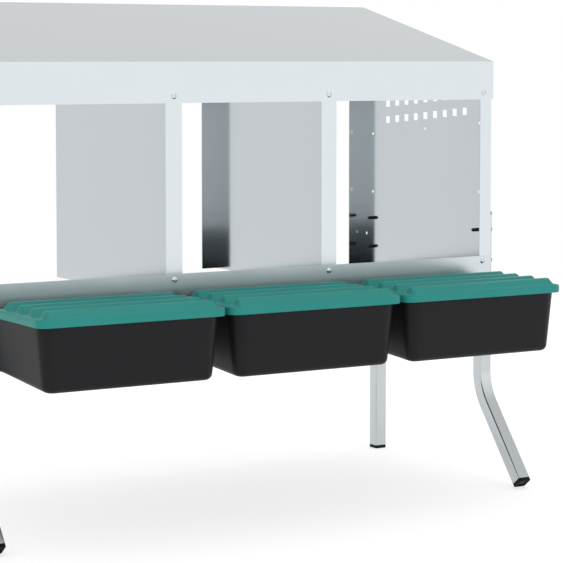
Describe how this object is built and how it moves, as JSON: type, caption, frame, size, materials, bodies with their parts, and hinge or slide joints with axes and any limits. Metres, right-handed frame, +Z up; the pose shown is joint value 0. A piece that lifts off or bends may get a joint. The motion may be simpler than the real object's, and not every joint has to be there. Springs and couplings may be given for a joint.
{
  "type": "nesting box",
  "caption": "Steel laying nest on bent tube legs, with a pitched roof, an open back, and slide-out egg trays under hinged ribbed lids.",
  "frame": {"origin": "on the ground, under the middle of the outline", "axes": "+X along the row of nests, the nest mouths and egg trays face -Y, +Z up"},
  "size_m": [0.9604, 0.5866, 0.791],
  "materials": {
    "sheet_steel": "zinc-coated sheet, satin",
    "leg_steel": "zinc-coated tube, satin",
    "tray_plastic": "moulded polypropylene, satin",
    "lid_plastic": "moulded polypropylene, satin",
    "end_plug_plastic": "moulded polyethylene",
    "zinc_fastener": "bright zinc plate",
    "dark_fastener": "blackened steel"
  },
  "bodies": {
    "box": {"roof": "sheet_steel", "end_wall_left": "sheet_steel", "end_wall_right": "sheet_steel", "partition_left": "sheet_steel", "partition_right": "sheet_steel", "front_rail": "sheet_steel", "rear_rail": "sheet_steel", "front_tray_bar": "sheet_steel", "rear_tray_bar": "sheet_steel", "leg_front_left": "leg_steel", "leg_front_right": "leg_steel", "leg_rear_left": "leg_steel", "leg_rear_right": "leg_steel", "foot_front_left": "end_plug_plastic", "foot_front_right": "end_plug_plastic", "foot_rear_left": "end_plug_plastic", "foot_rear_right": "end_plug_plastic", "cap_front_left": "end_plug_plastic", "cap_front_right": "end_plug_plastic", "cap_rear_left": "end_plug_plastic", "cap_rear_right": "end_plug_plastic", "lip_screws": "zinc_fastener", "rail_screws": "zinc_fastener", "roof_back_screws": "zinc_fastener", "rear_rail_screws": "zinc_fastener", "panel_nuts": "zinc_fastener", "leg_washers": "zinc_fastener", "bar_screws": "zinc_fastener", "leg_bolts": "dark_fastener"},
    "left_tray": {"tray_left": "tray_plastic", "hinge_pin_left": "zinc_fastener"},
    "left_lid": {"lid_left": "lid_plastic"},
    "middle_tray": {"tray_middle": "tray_plastic", "hinge_pin_middle": "zinc_fastener"},
    "middle_lid": {"lid_middle": "lid_plastic"},
    "right_tray": {"tray_right": "tray_plastic", "hinge_pin_right": "zinc_fastener"},
    "right_lid": {"lid_right": "lid_plastic"}
  },
  "joints": [
    {"name": "left_tray_slide", "type": "slide", "parent": "box", "child": "left_tray", "axis": [0, -0.9976, -0.0698], "range_m": [0, 0.28]},
    {"name": "left_lid_hinge", "type": "hinge", "parent": "left_tray", "child": "left_lid", "pos_m": [-0.302, -0.1283, 0.341], "axis": [-1, 0, 0], "range_deg": [0, 92]},
    {"name": "middle_tray_slide", "type": "slide", "parent": "box", "child": "middle_tray", "axis": [0, -0.9976, -0.0698], "range_m": [0, 0.28]},
    {"name": "middle_lid_hinge", "type": "hinge", "parent": "middle_tray", "child": "middle_lid", "pos_m": [0, -0.1283, 0.341], "axis": [-1, 0, 0], "range_deg": [0, 92]},
    {"name": "right_tray_slide", "type": "slide", "parent": "box", "child": "right_tray", "axis": [0, -0.9976, -0.0698], "range_m": [0, 0.28]},
    {"name": "right_lid_hinge", "type": "hinge", "parent": "right_tray", "child": "right_lid", "pos_m": [0.302, -0.1283, 0.341], "axis": [-1, 0, 0], "range_deg": [0, 92]}
  ]
}
